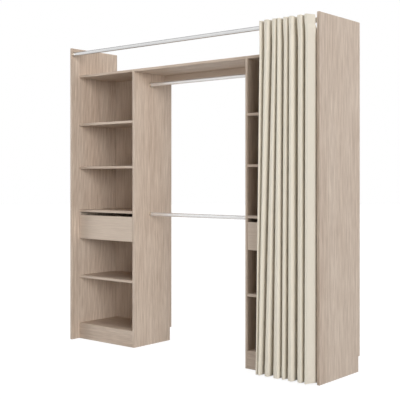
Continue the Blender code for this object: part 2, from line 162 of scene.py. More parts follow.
# Screw heads as (radius, height), and how far in they sit: from the face that a runner is fixed by, from
# its front and rear ends, and from the bottom of a socket
RUNNER_SCREW = (0.0034, 0.0020)
RUNNER_SCREW_SEAT = 0.0012
RUNNER_SCREW_ENDS = (0.028, 0.034)
SOCKET_PIN = (0.0018, 0.0006)
SOCKET_PIN_SEAT = 0.0022

# The photograph's view: lengths on it in its pixels, then the camera's place and its turn in degrees
IMAGE_SIZE = 400
FOCAL_LENGTH = 834.59
EYE_LEVEL_ROW = 177.91
SENSOR_WIDTH = 36
CAMERA_PLACE = (3.4306, -4.0719, 1.1259)
CAMERA_TURN = 40.064


def srgb(red, green, blue):
    """A screen colour, 0 to 255, as the linear colour that Blender's sockets take."""
    shares = (value / 255 for value in (red, green, blue))
    return tuple(s / 12.92 if s <= 0.04045 else ((s + 0.055) / 1.055) ** 2.4 for s in shares)


def mix(first, second, share):
    return first + (second - first) * share


def clamp(value):
    return min(max(value, 0.0), 1.0)


# ---------------------------------------- settings


def colour_setting(name, description, default):
    return bpy.props.FloatVectorProperty(
        name=name, description=description, subtype="COLOR", size=3, min=0, max=1, default=default
    )


class WARDROBE_PG_oak(bpy.types.PropertyGroup):
    """The oak decor of the boards."""

    pale: colour_setting("Pale grain", "Colour of the pale streaks", srgb(217, 201, 185))
    dark: colour_setting("Dark grain", "Colour of the dark streaks", srgb(186, 166, 149))
    warm: colour_setting("Warm drift", "Tint that drifts slowly across a board", srgb(206, 181, 160))
    contrast: bpy.props.FloatProperty(
        name="Contrast", description="Strength of the grain", default=1.0, min=0, max=3, subtype="FACTOR"
    )


class WARDROBE_PG_cloth(bpy.types.PropertyGroup):
    """The curtain's linen."""

    thread: colour_setting("Thread", "Colour of the linen thread", srgb(243, 236, 222))
    shade: colour_setting("Between threads", "Colour in the gaps of the weave", srgb(217, 208, 190))
    pitch: bpy.props.FloatProperty(
        name="Thread pitch", description="Distance from one thread to the next",
        default=0.0009, min=0.0002, max=0.01, precision=4, unit="LENGTH",
    )
    wrinkle: bpy.props.FloatProperty(
        name="Wrinkles", description="Height of the soft wrinkles between the folds",
        default=0.0003, min=0, max=0.01, precision=4, unit="LENGTH",
    )


class WARDROBE_PG_stage(bpy.types.PropertyGroup):
    """Floor, light and camera."""

    sky: bpy.props.FloatProperty(
        name="Sky light", description="Strength of the even light from all sides", default=0.02, min=0, max=5
    )
    key: bpy.props.FloatProperty(
        name="Key light", description="Strength of the soft, nearly level light from the front right",
        default=2.45, min=0, max=20,
    )
    side: bpy.props.FloatProperty(
        name="Side light", description="Strength of the soft, level light from the front left",
        default=1.85, min=0, max=20,
    )
    back: bpy.props.FloatProperty(
        name="Back light", description="Strength of the soft light from behind", default=1.9, min=0, max=20
    )
    over: bpy.props.FloatProperty(
        name="Overhead light", description="Strength of the soft light from straight above",
        default=1.65, min=0, max=20,
    )
    floor: colour_setting("Floor", "Colour that the floor gives back to the object", (0.5, 0.5, 0.5))


# ---------------------------------------- wiring of node trees


class Wiring:
    """Adds nodes to one node tree and links them."""

    def __init__(self, tree):
        self.tree = tree

    def feed(self, target, value):
        if isinstance(value, bpy.types.NodeSocket):
            self.tree.links.new(value, target)
        elif target.type == "RGBA" and len(value) == 3:
            target.default_value = (*value, 1)
        else:
            target.default_value = value

    def node(self, kind, inputs=(), **settings):
        made = self.tree.nodes.new(kind)
        for name, value in settings.items():
            setattr(made, name, value)
        for name, value in dict(inputs).items():
            self.feed(made.inputs[name], value)
        return made

    def group(self, build, inputs):
        """Adds the node group that a build_ function makes, built the first time it is asked for."""
        name = build.__name__.removeprefix("build_")
        tree = bpy.data.node_groups.get(name) or build(name)
        return self.node("ShaderNodeGroup", inputs, node_tree=tree).outputs

    def math(self, operation, *values):
        return self.node("ShaderNodeMath", enumerate(values), operation=operation).outputs[0]

    def vector(self, operation, *values):
        made = self.node("ShaderNodeVectorMath", enumerate(values), operation=operation)
        return made.outputs["Value" if operation == "DOT_PRODUCT" else "Vector"]

    def parts(self, vector):
        return self.node("ShaderNodeSeparateXYZ", {"Vector": vector}).outputs

    def noise(self, vector, stretch=(1, 1, 1), detail=2.0, roughness=0.5, output="Fac"):
        scaled = self.vector("MULTIPLY", vector, stretch)
        settings = {"Vector": scaled, "Scale": 1.0, "Detail": detail, "Roughness": roughness}
        return self.node("ShaderNodeTexNoise", settings).outputs[output]

    def remap(self, value, low, high, to_low=0.0, to_high=1.0):
        settings = {"Value": value, "From Min": low, "From Max": high, "To Min": to_low, "To Max": to_high}
        return self.node("ShaderNodeMapRange", settings).outputs[0]

    def blend(self, factor, first, second, kind="MIX"):
        inputs = {0: factor, 6: first, 7: second}
        return self.node("ShaderNodeMix", inputs, data_type="RGBA", blend_type=kind).outputs[2]

    def either(self, factor, first, second):
        return self.node("ShaderNodeMix", {0: factor, 2: first, 3: second}, data_type="FLOAT").outputs[0]


def new_group(name, inputs, outputs):
    """A shader node group with named sockets: its tree wiring, its inputs and its outputs."""
    tree = bpy.data.node_groups.new(name, "ShaderNodeTree")
    for label, kind, default in inputs:
        made = tree.interface.new_socket(name=label, in_out="INPUT", socket_type="NodeSocket" + kind)
        if default is not None:
            made.default_value = (*default, 1) if kind == "Color" else default
    for label, kind in outputs:
        tree.interface.new_socket(name=label, in_out="OUTPUT", socket_type="NodeSocket" + kind)
    given = tree.nodes.new("NodeGroupInput").outputs
    result = tree.nodes.new("NodeGroupOutput").inputs
    return Wiring(tree), given, result


# ---------------------------------------- shared effects

SURFACE = (("Color", "Color"), ("Roughness", "Float"), ("Height", "Float"))


def build_oak_grain(name):
    """Oak decor with its grain along Z: streaks in three widths, faint arches and short pores."""
    inputs = (
        ("Vector", "Vector", None), ("Pale", "Color", (0.7, 0.6, 0.5)), ("Dark", "Color", (0.5, 0.4, 0.3)),
        ("Warm", "Color", (0.6, 0.5, 0.4)), ("Contrast", "Float", 1.0), ("Arches", "Float", 0.2),
    )
    w, given, result = new_group(name, inputs, SURFACE)
    drift = w.noise(given["Vector"], (3.1, 3.1, 1.1), 1.0, output="Color")
    drift = w.vector("MULTIPLY", w.vector("SUBTRACT", drift, (0.5, 0.5, 0.5)), (0.012, 0.012, 0))
    place = w.vector("ADD", given["Vector"], drift)

    streaks = 0.0
    widths = (((9, 9, 0.25), 0.50, 2), ((85, 85, 4), 1.9, 3), ((240, 240, 11), 1.7, 2))
    for stretch, gain, detail in widths:
        wave = w.math("SUBTRACT", w.noise(place, stretch, detail), 0.5)
        streaks = w.math("MULTIPLY_ADD", wave, gain, streaks)

    x, y, z = w.parts(place)
    from_heart = w.math("ABSOLUTE", w.math("ADD", x, 0.11))
    squares = w.math("ADD", w.math("POWER", from_heart, 2.0), w.math("POWER", y, 2.0))
    rings = w.math("SUBTRACT", w.math("SQRT", squares), w.math("MULTIPLY", z, 0.055))
    rings = w.math("MULTIPLY_ADD", w.noise(place, (6, 6, 1.4), 2.0), 0.05, rings)
    arch = w.math("SINE", w.math("MULTIPLY", rings, 560))
    arch = w.math("MULTIPLY", w.math("MULTIPLY", arch, 0.22), given["Arches"])
    tone = w.math("MULTIPLY_ADD", w.math("ADD", streaks, arch), given["Contrast"], 0.5)

    fibre = w.noise(place, (1500, 1500, 70), 1.0)
    clusters = w.remap(w.noise(place, (40, 40, 3), 1.0), 0.42, 0.62)
    pores = w.math("MULTIPLY", w.remap(fibre, 0.60, 0.70), clusters)
    colour = w.blend(w.math("MINIMUM", w.math("MAXIMUM", tone, 0.0), 1.0), given["Dark"], given["Pale"])
    warmth = w.remap(w.noise(place, (5, 5, 0.5), 1.0), 0.40, 0.68, 0.0, 0.75)
    tint = w.blend(0.75, given["Warm"], (1, 1, 1))
    colour = w.blend(warmth, colour, w.blend(1.0, colour, tint, "MULTIPLY"))
    pore_colour = w.blend(0.4, given["Dark"], (0.1, 0.08, 0.06))
    colour = w.blend(w.math("MULTIPLY", pores, 0.35), colour, pore_colour)
    w.feed(result["Color"], colour)
    w.feed(result["Roughness"], w.math("MULTIPLY_ADD", pores, 0.16, w.remap(fibre, 0.3, 0.7, 0.44, 0.56)))
    depth = w.math("MULTIPLY_ADD", pores, -0.8, w.math("MULTIPLY", fibre, 0.35))
    w.feed(result["Height"], w.math("MULTIPLY_ADD", streaks, 0.3, depth))
    return w.tree


def build_raw_chipboard(name):
    """The open core of a board: coarse flakes in the middle, glued tight and sawn flat."""
    w, given, result = new_group(name, (("Vector", "Vector", None),), SURFACE)
    place = w.vector("MULTIPLY", given["Vector"], (420, 420, 420))
    cells = w.node("ShaderNodeTexVoronoi", {"Vector": place})
    tone = w.parts(cells.outputs["Color"])[0]
    dust = w.noise(given["Vector"], (900, 900, 900), 2.0)
    colour = w.blend(tone, srgb(150, 118, 84), srgb(206, 176, 138))
    colour = w.blend(w.remap(dust, 0.55, 0.75), colour, srgb(118, 88, 60))
    w.feed(result["Color"], colour)
    w.feed(result["Roughness"], w.remap(dust, 0.3, 0.7, 0.82, 0.96))
    w.feed(result["Height"], w.math("MULTIPLY_ADD", cells.outputs["Distance"], -0.8, dust))
    return w.tree


def build_hardboard(name):
    """The plain side of a thin back board: brown, pressed fibre with a fine screen mark."""
    w, given, result = new_group(name, (("Vector", "Vector", None),), SURFACE)
    flecks = w.noise(given["Vector"], (330, 330, 330), 3.0, 0.65)
    clouds = w.noise(given["Vector"], (7, 7, 7), 3.0)
    fibres = w.noise(given["Vector"], (1400, 500, 260), 1.0)
    colour = w.blend(clouds, srgb(136, 102, 72), srgb(166, 131, 98))
    colour = w.blend(w.remap(flecks, 0.5, 0.74), colour, srgb(192, 162, 126))
    w.feed(result["Color"], w.blend(w.remap(fibres, 0.6, 0.8, 0.0, 0.5), colour, srgb(98, 70, 48)))
    w.feed(result["Roughness"], w.remap(flecks, 0.3, 0.7, 0.62, 0.80))
    w.feed(result["Height"], w.math("ADD", w.math("MULTIPLY", flecks, 0.5), w.math("MULTIPLY", fibres, 0.5)))
    return w.tree


def build_edge_wear(name):
    """A mask of the outer edges, broken up so that it reads as light handling."""
    inputs = (("Vector", "Vector", None), ("Radius", "Float", 0.0012))
    w, given, result = new_group(name, inputs, (("Mask", "Float"), ("Normal", "Vector")))
    rounded = w.node("ShaderNodeBevel", {"Radius": given["Radius"]}, samples=4).outputs[0]
    flat = w.node("ShaderNodeNewGeometry").outputs["True Normal"]
    edge = w.remap(w.vector("DOT_PRODUCT", rounded, flat), 0.995, 0.80)
    patches = w.remap(w.noise(given["Vector"], (23, 23, 23), 3.0, 0.6), 0.40, 0.66, 0.25, 1.0)
    w.feed(result["Mask"], w.math("MULTIPLY", edge, patches))
    w.feed(result["Normal"], rounded)
    return w.tree


def build_board_sides(name):
    """Masks of a board's faces by the way they point, and the fine line behind its edge band."""
    inputs = (("Vector", "Vector", None), ("Normal", "Vector", None), ("Front Y", "Float", 0.0))
    outputs = (("Front", "Float"), ("Rear", "Float"), ("Under", "Float"), ("Band Line", "Float"))
    w, given, result = new_group(name, inputs, outputs)
    _, y, z = w.parts(given["Normal"])
    front = w.math("LESS_THAN", y, -0.7)
    behind = w.math("SUBTRACT", w.parts(given["Vector"])[1], given["Front Y"])
    line = w.math("COMPARE", behind, 0.0013, 0.00022)
    w.feed(result["Front"], front)
    w.feed(result["Rear"], w.math("GREATER_THAN", y, 0.7))
    w.feed(result["Under"], w.math("LESS_THAN", z, -0.7))
    w.feed(result["Band Line"], w.math("MULTIPLY", line, w.math("SUBTRACT", 1.0, front)))
    return w.tree


def build_linen_weave(name):
    """Plain weave on a map in metres of cloth, with thick and thin threads in both directions."""
    inputs = (
        ("Vector", "Vector", None), ("Pitch", "Float", 0.0009),
        ("Thread", "Color", (0.8, 0.75, 0.65)), ("Shade", "Color", (0.5, 0.45, 0.35)),
    )
    w, given, result = new_group(name, inputs, SURFACE)
    wander = w.noise(given["Vector"], (60, 60, 1), 2.0, output="Color")
    wander = w.vector("MULTIPLY", w.vector("SUBTRACT", wander, (0.5, 0.5, 0.5)), (0.0012, 0.0012, 0))
    u, v, _ = w.parts(w.vector("ADD", given["Vector"], wander))
    along = w.math("SINE", w.math("MULTIPLY", w.math("DIVIDE", u, given["Pitch"]), math.pi))
    across = w.math("SINE", w.math("MULTIPLY", w.math("DIVIDE", v, given["Pitch"]), math.pi))
    warp_on_top = w.math("GREATER_THAN", w.math("MULTIPLY", along, across), 0.0)
    crown = w.either(warp_on_top, w.math("ABSOLUTE", across), w.math("ABSOLUTE", along))
    warp_slub = w.noise(given["Vector"], (520, 9, 1), 2.0)
    weft_slub = w.noise(given["Vector"], (9, 520, 1), 2.0)
    slub = w.either(warp_on_top, weft_slub, warp_slub)
    clouds = w.noise(given["Vector"], (6, 3, 1), 3.0)
    colour = w.blend(w.remap(crown, 0.0, 0.75), given["Shade"], given["Thread"])
    colour = w.blend(w.remap(slub, 0.35, 0.68, 0.10, 0.0), colour, given["Shade"])
    colour = w.blend(w.remap(clouds, 0.35, 0.7, 0.03, 0.0), colour, given["Shade"])
    w.feed(result["Color"], colour)
    w.feed(result["Roughness"], w.remap(crown, 0.0, 1.0, 0.95, 0.82))
    w.feed(result["Height"], w.math("MULTIPLY_ADD", slub, 0.7, crown))
    return w.tree


def build_drawn_metal(name):
    """Fine draw marks along X, soft smears and a little tarnish."""
    inputs = (("Vector", "Vector", None), ("Roughness", "Float", 0.15))
    w, given, result = new_group(name, inputs, SURFACE)
    lines = w.noise(given["Vector"], (5, 1600, 1600), 2.0)
    smear = w.noise(given["Vector"], (14, 40, 40), 3.0, 0.6)
    w.feed(result["Color"], w.blend(w.remap(smear, 0.35, 0.7), srgb(240, 240, 241), srgb(248, 248, 247)))
    rough = w.math("MULTIPLY_ADD", w.math("SUBTRACT", smear, 0.5), 0.08, given["Roughness"])
    w.feed(result["Roughness"], w.math("MULTIPLY_ADD", w.math("SUBTRACT", lines, 0.5), 0.06, rough))
    w.feed(result["Height"], lines)
    return w.tree


def build_zinc_plate(name):
    """Bright zinc plating on rolled steel: faint spangles and rolling lines along Y."""
    w, given, result = new_group(name, (("Vector", "Vector", None),), SURFACE)
    place = w.vector("MULTIPLY", given["Vector"], (160, 90, 160))
    spangle = w.node("ShaderNodeTexVoronoi", {"Vector": place})
    tone = w.parts(spangle.outputs["Color"])[0]
    lines = w.noise(given["Vector"], (900, 8, 900), 2.0)
    w.feed(result["Color"], w.blend(tone, srgb(188, 190, 190), srgb(214, 215, 212)))
    w.feed(result["Roughness"], w.math("MULTIPLY_ADD", tone, 0.10, w.remap(lines, 0.3, 0.7, 0.28, 0.42)))
    w.feed(result["Height"], lines)
    return w.tree


# ---------------------------------------- materials


def cleared(owner):
    """The wiring of a new material's or world's own tree, with its first nodes taken out."""
    owner.use_nodes = True
    owner.node_tree.nodes.clear()
    return Wiring(owner.node_tree)


def new_material(name):
    material = bpy.data.materials.new(name)
    w = cleared(material)
    shader = w.node("ShaderNodeBsdfPrincipled")
    w.node("ShaderNodeOutputMaterial", {"Surface": shader.outputs[0]})
    return material, w, shader.inputs


def finish_shader(w, shader, colour, roughness, height, distance, strength=0.5, normal=None):
    """Feeds a Principled shader from an effect's colour, roughness and height."""
    bump = {"Height": height, "Distance": distance, "Strength": strength}
    if normal is not None:
        bump["Normal"] = normal
    w.feed(shader["Base Color"], colour)
    w.feed(shader["Roughness"], roughness)
    w.feed(shader["Normal"], w.node("ShaderNodeBump", bump).outputs[0])


GRAIN_TURNS = {"Z": (0, 0, 0), "X": (0, math.pi / 2, 0), "Y": (math.pi / 2, 0, 0)}


def board_material(name, oak, grain, offset, front_y, arches, front_paling_and_painted_light, rear, under):
    """Oak decor for one board, its grain along one axis, with raw core or hardboard where it shows."""
    material, w, shader = new_material(name)
    place = w.node("ShaderNodeTexCoord").outputs
    turned = {"Vector": place["Object"], "Rotation": GRAIN_TURNS[grain], "Location": offset}
    decor = w.group(build_oak_grain, {
        "Vector": w.node("ShaderNodeMapping", turned).outputs[0],
        "Pale": oak.pale, "Dark": oak.dark, "Warm": oak.warm, "Contrast": oak.contrast, "Arches": arches,
    })
    sides = w.group(build_board_sides, {
        "Vector": place["Object"], "Normal": place["Normal"], "Front Y": front_y,
    })
    wear = w.group(build_edge_wear, {"Vector": place["Object"], "Radius": 0.0011})
    # Front faces paled towards the pale grain: painted light on the drawer fronts and the rail, a plain
    # paler front elsewhere
    colour = w.blend(w.math("MULTIPLY", sides["Front"], front_paling_and_painted_light), decor["Color"], oak.pale)
    colour = w.blend(w.math("MULTIPLY", sides["Band Line"], 0.5), colour, srgb(120, 98, 80))
    colour = w.blend(w.math("MULTIPLY", wear["Mask"], 0.35), colour, srgb(228, 216, 203))
    rough = w.math("MULTIPLY_ADD", wear["Mask"], 0.08, decor["Roughness"])
    height = decor["Height"]
    for core, side in ((rear, "Rear"), (under, "Under")):
        if core:
            raw = w.group(core, {"Vector": place["Object"]})
            colour = w.blend(sides[side], colour, raw["Color"])
            rough = w.either(sides[side], rough, raw["Roughness"])
            height = w.either(sides[side], height, raw["Height"])
    finish_shader(w, shader, colour, rough, height, 0.00012, 0.5, wear["Normal"])
    return material


def tube_material(name, roughness, metallic, tint=(1, 1, 1), rim=(1, 1, 1)):
    material, w, shader = new_material(name)
    place = w.node("ShaderNodeTexCoord").outputs["Object"]
    drawn = w.group(build_drawn_metal, {"Vector": place, "Roughness": roughness})
    colour = w.blend(1.0, drawn["Color"], tint, "MULTIPLY")
    finish_shader(w, shader, colour, drawn["Roughness"], drawn["Height"], 0.00001, 0.1)
    shader["Metallic"].default_value = metallic
    shader["Specular Tint"].default_value = (*rim, 1)
    return material


def zinc_material(name):
    material, w, shader = new_material(name)
    place = w.node("ShaderNodeTexCoord").outputs["Object"]
    plate = w.group(build_zinc_plate, {"Vector": place})
    wear = w.group(build_edge_wear, {"Vector": place, "Radius": 0.0004})
    colour = w.blend(w.math("MULTIPLY", wear["Mask"], 0.4), plate["Color"], srgb(236, 236, 234))
    finish_shader(w, shader, colour, plate["Roughness"], plate["Height"], 0.00003, 0.3, wear["Normal"])
    shader["Metallic"].default_value = 1.0
    return material


def linen_material(name, cloth, pitch_scale=1.0, shade_share=0.0):
    material, w, shader = new_material(name)
    place = w.node("ShaderNodeUVMap", uv_map="cloth").outputs[0]
    weave = w.group(build_linen_weave, {
        "Vector": place, "Pitch": cloth.pitch * pitch_scale, "Thread": cloth.thread, "Shade": cloth.shade,
    })
    colour = w.blend(shade_share, weave["Color"], cloth.shade)
    finish_shader(w, shader, colour, weave["Roughness"], weave["Height"], cloth.pitch * 0.35, 0.3)
    shader["Sheen Weight"].default_value = 0.12
    shader["Sheen Roughness"].default_value = 0.5
    shader["Specular IOR Level"].default_value = 0.25
    return material


def thread_material(name, cloth):
    """Twisted sewing thread, a shade darker than the linen."""
    material, w, shader = new_material(name)
    place = w.node("ShaderNodeTexCoord").outputs["Object"]
    twist = w.noise(place, (2400, 2400, 2400), 1.0)
    colour = w.blend(twist, cloth.shade, cloth.thread)
    finish_shader(w, shader, colour, w.remap(twist, 0.3, 0.7, 0.6, 0.8), twist, 0.0001)
    return material


def paint(node, material):
    for slot in NODES[node].material_slots:
        slot.material = material


# ---------------------------------------- mesh making


def add_piece(name, bm, material):
    """A finished bmesh as one object at the origin."""
    mesh = bpy.data.meshes.new(name)
    bm.to_mesh(mesh)
    bm.free()
    mesh.materials.append(material)
    piece = bpy.data.objects.new(name, mesh)
    bpy.context.scene.collection.objects.link(piece)
    return piece


def laid_grid(columns, rows, place):
    """A grid of cloth: place(column, row) gives each corner's point, and its (u, v) in metres of cloth."""
    bm = bmesh.new()
    across, up = len(columns) - 1, len(rows) - 1
    bmesh.ops.create_grid(bm, x_segments=across, y_segments=up, size=1)
    cloth_map = bm.loops.layers.uv.new("cloth")
    for vert in bm.verts:
        column, row = round((vert.co.x + 1) / 2 * across), round((vert.co.y + 1) / 2 * up)
        vert.co, (u, v) = place(columns[column], rows[row])
        for loop in vert.link_loops:
            loop[cloth_map].uv = (u, v)
    for face in bm.faces:
        face.smooth = True
    for edge in bm.edges:
        edge.smooth = not edge.is_boundary
    return bm


def thicken(piece, thickness):
    solid = piece.modifiers.new("thickness", "SOLIDIFY")
    solid.thickness = thickness
    solid.offset = 0
    solid.use_even_offset = True
    return solid


# ---------------------------------------- the hung cloth


def stack_x(top_share, bottom_share, z):
    """X of a place in the stack, from its shares of the stack's width at the top and at the bottom."""
    down = (CURTAIN_TOP - z) / (CURTAIN_TOP - CURTAIN_BOTTOM)
    last_fold = clamp((top_share - 0.8) / 0.2)
    inset = HEADING_INSET * last_fold * clamp(1 - 6 * below_heading(z))
    width = mix(STACK_WIDTH_TOP * (1 - top_share), STACK_WIDTH_BOTTOM * (1 - bottom_share), down)
    return STACK_END_X - inset - width


def below_heading(z):
    """How far the folds have opened out under the heading: 0 at the heading, 1 below."""
    share = clamp((DEEPEN_Z + DEEP_EASE - z) / (DEEPEN_Z - DEEP_Z + 2 * DEEP_EASE))
    return share * share * (3 - 2 * share)


def section_point(along, z):
    """X and Y of the cloth at height z; along counts folds from the free edge, back tip to back tip."""
    fold = min(int(along), FOLDS - 1)
    half = 2 * (along - fold)
    forward = half <= 1
    leg = half if forward else half - 1
    tip = fold if forward else fold + 1
    tip_x = stack_x(TIPS_TOP[tip], TIPS_BOTTOM[tip], z)
    nose_x = stack_x(NOSES_TOP[fold], NOSES_BOTTOM[fold], z)
    back_y = mix(HEADING_BACK_Y, DEEP_BACK_Y, below_heading(z)) - BACK_CLEARANCE
    start_x, end_x = (tip_x, nose_x) if forward else (nose_x, tip_x)
    reach = NOSE_REACHES[fold] * (back_y - NOSE_FRONT_Y)
    share = (1 - math.cos(math.pi * leg)) / 2
    overhang = OVERHANG if fold < FOLDS - 1 else LAST_OVERHANGS[0 if forward else 1]
    x = mix(start_x, end_x, leg) + overhang * (end_x - start_x) * math.sin(math.tau * leg)
    return x, back_y - reach * (share if forward else 1 - share)


class HungCloth:
    """The gathered curtain's surface; a place on it is (folds from the free edge, height)."""

    def __init__(self, wrinkle):
        self.wrinkle = wrinkle
        self.places = np.linspace(0, FOLDS, SECTION_SAMPLES + 1)
        points = np.array([section_point(along, SECTION_Z) for along in self.places])
        steps = np.linalg.norm(np.diff(points, axis=0), axis=1)
        self.widths = np.concatenate(((0.0,), np.cumsum(steps)))
        self.width = self.widths[-1]

    def width_at(self, along):
        """The width of cloth from the free edge to there, measured along the folds."""
        return float(np.interp(along, self.places, self.widths))

    def along_at(self, width):
        return float(np.interp(width, self.widths, self.places))

    def point(self, along, z):
        """A point of the hung cloth, with soft wrinkles that fade towards the heading."""
        x, y = section_point(along, z)
        height = self.wrinkle * clamp((CURTAIN_TOP - z) / 0.25)
        sway = noise.noise(Vector((along * 1.3, 3.7, z * 1.9)))
        ripple = noise.noise(Vector((along * 5.0, 9.1, z * 4.3)))
        x += height * (sway + 0.4 * ripple)
        y += height * 0.8 * noise.noise(Vector((along * 3.1, 21.3, z * 2.7)))
        return Vector((x, max(y, NOSE_FRONT_Y), z))

    def place(self, along, z):
        """A point of the hung cloth and its (u, v) in metres of cloth."""
        return self.point(along, z), (self.width_at(along), z)

    def hem_share(self, along, z):
        """How doubled the cloth is there: 0 in the middle, 1 in a hem, less at its edge and its stitches."""
        width = self.width_at(along)
        from_side = min(width, self.width - width)
        inside = max(SIDE_HEM - from_side, CURTAIN_BOTTOM + BOTTOM_HEM - z, z - HEADING_HEM_Z)
        if abs(inside) < ON_LINE:
            return HEM_GROOVE_SHARE
        if inside < 0:
            return 0.0
        at_edge = min(from_side, z - CURTAIN_BOTTOM, CURTAIN_TOP - z) < ON_LINE
        return HEM_EDGE_SHARE if at_edge else 1.0

    def columns(self, first, last):
        """Where a strip's columns lie: evenly along the legs, with close ones at the side hems."""
        found = set(np.linspace(first, last, (last - first) * 2 * COLUMNS_IN_LEG + 1).round(6))
        for from_side in (0.0015, SIDE_HEM - HEM_STEP, SIDE_HEM, SIDE_HEM + HEM_STEP):
            for width in (from_side, self.width - from_side):
                along = self.along_at(width)
                if first < along < last:
                    found.add(round(along, 6))
        return sorted(found)

    def rows(self, row):
        """Heights of the cloth's rows, closer at the heading, the knee and the hems."""
        hem = CURTAIN_BOTTOM + BOTTOM_HEM
        if row == "upper":
            heights = np.concatenate((
                (KNEE_Z, 0.894), np.arange(0.92, 1.86, ROW_STEP), np.arange(1.868, 1.96, CLOSE_ROW_STEP),
                (1.964, HEADING_HEM_Z - HEM_STEP, HEADING_HEM_Z, HEADING_HEM_Z + HEM_STEP),
                (1.974, 1.982, 1.990, 1.998, TOP_STITCHES_Z, 2.012, 2.0146, CURTAIN_TOP),
            ))
        else:
            heights = np.concatenate((
                (CURTAIN_BOTTOM, 0.0094, 0.012, 0.02, 0.035, 0.05, 0.064),
                (hem - HEM_STEP, hem, hem + HEM_STEP, 0.084),
                np.arange(0.10, 0.88, ROW_STEP), (0.886, KNEE_Z),
            ))
        return [float(z) for z in heights]


class WARDROBE_OT_add_curtain(bpy.types.Operator):
    """Hang the linen curtain, gathered at the right end of its rod"""

    bl_idname = "wardrobe.add_curtain"
    bl_label = "Add Curtain"

    def execute(self, context):
        cloth = context.scene.wardrobe_cloth
        hung = HungCloth(cloth.wrinkle)
        linen = linen_material("linen_curtain", cloth)
        tape = linen_material("heading_tape", cloth, pitch_scale=1.6, shade_share=0.12)
        thread = thread_material("sewing_thread", cloth)
        for row in ("upper", "lower"):
            heights = hung.rows(row)
            for number, (first, last, bend_from, bend_to) in enumerate(STRIPS, start=1):
                columns = hung.columns(first, last)
                piece = self.strip(f"{row}_cloth_{number}", hung, columns, heights, linen)
                extras = [self.stitches(f"{row}_stitches_{number}", hung, row, first, last, thread)]
                if row == "upper":
                    extras.append(self.tape(f"heading_tape_{number}", hung, columns, tape))
                for made in (piece, *extras):
                    self.bend(made, f"{row}_folds_{number}", f"{row}_folds_{number + 1}", bend_from, bend_to)
                if row == "upper":
                    extras += self.loops(first, last)
                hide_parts(f"curtain_{row}_{number}", f"curtain_{row}_{number + 1}")
                share = (hung.width_at(last) - hung.width_at(first)) / hung.width
        return {"FINISHED"}

    def strip(self, name, hung, columns, heights, linen):
        """One strip of cloth, single in the middle and doubled at its hems."""
        piece = add_piece(name, laid_grid(columns, heights, hung.place), linen)
        hems = piece.vertex_groups.new(name="hems")
        grid = [(along, z) for z in heights for along in columns]
        for index, (along, z) in enumerate(grid):
            hems.add([index], hung.hem_share(along, z), "REPLACE")
        solid = thicken(piece, CLOTH_HEM)
        solid.vertex_group = "hems"
        solid.thickness_vertex_group = CLOTH_THIN / CLOTH_HEM
        return piece

    def stitches(self, name, hung, row, first, last, thread):
        """Short stitches along the hem lines of one strip, showing on both faces."""
        start, end = hung.width_at(first), hung.width_at(last)
        if row == "upper":
            lines, low, high = (TOP_STITCHES_Z, HEADING_HEM_Z), KNEE_Z + 0.004, 1.96
        else:
            lines, low, high = (CURTAIN_BOTTOM + BOTTOM_HEM,), CURTAIN_BOTTOM + 0.003, KNEE_Z - 0.002
        runs = []
        for z in lines:
            across = np.arange(start + STITCH_PITCH / 2, end - 0.001, STITCH_PITCH)
            runs.extend((float(width), z, True) for width in across)
        for width in (SIDE_HEM, hung.width - SIDE_HEM):
            if start < width < end:
                runs.extend((width, float(z), False) for z in np.arange(low, high, STITCH_PITCH))
        bm = bmesh.new()
        rise = Vector((0, 0, 1))
        for width, z, level in runs:
            centre = hung.point(hung.along_at(width), z)
            tangent = (hung.point(hung.along_at(width + 0.001), z) - centre).normalized()
            outward = tangent.cross(rise).normalized()
            length, side = (tangent, rise) if level else (rise, tangent)
            shape = Matrix((length * STITCH_LENGTH, outward * STITCH_RISE, side * STITCH_WIDTH))
            matrix = shape.transposed().to_4x4()
            matrix.translation = centre
            bmesh.ops.create_icosphere(bm, subdivisions=1, radius=1, matrix=matrix)
        bmesh.ops.recalc_face_normals(bm, faces=bm.faces)
        return add_piece(name, bm, thread)

    def tape(self, name, hung, columns, material):
        """The woven tape sewn behind the heading, between its two rows of stitches."""
        def behind(along, z):
            ahead = hung.point(min(along + 0.01, FOLDS), z)
            back = hung.point(max(along - 0.01, 0), z)
            outward = (ahead - back).cross(Vector((0, 0, 1))).normalized()
            point, place = hung.place(along, z)
            return point - outward * TAPE_OFFSET, place

        kept = [along for along in columns if TAPE_END_FOLDS < along < FOLDS - TAPE_END_FOLDS]
        piece = add_piece(name, laid_grid(kept, TAPE_ROWS, behind), material)
        thicken(piece, TAPE_THICKNESS)
        return piece

    def loops(self, first, last):
        """The loops that are sewn to one strip."""
        sewn = [
            number for number, (tip, _) in enumerate(LOOPS, start=1)
            if first <= tip < last or tip == last == FOLDS
        ]
        return [bpy.data.objects[f"curtain_loop_{number}"] for number in sewn]

    def bend(self, piece, start_body, end_body, left, right):
        """Works out lines through two tips that lean as the folds between them do, and bakes the piece's
        transform into its mesh.
        """
        between = (
            (NOSES_TOP[left], NOSES_BOTTOM[left]), (TIPS_TOP[left + 1], TIPS_BOTTOM[left + 1]),
            (NOSES_TOP[left + 1], NOSES_BOTTOM[left + 1]),
        )
        rises = [stack_x(*shares, DEEP_Z) - stack_x(*shares, CURTAIN_BOTTOM) for shares in between]
        slope = sum(rises) / len(rises) / (DEEP_Z - CURTAIN_BOTTOM)
        low, high = (
            pick(
                stack_x(TIPS_TOP[tip], TIPS_BOTTOM[tip], z) - slope * (z - CURTAIN_BOTTOM)
                for z in (CURTAIN_BOTTOM, CURTAIN_TOP)
            )
            for tip, pick in ((left, max), (right, min))
        )
        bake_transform(piece)


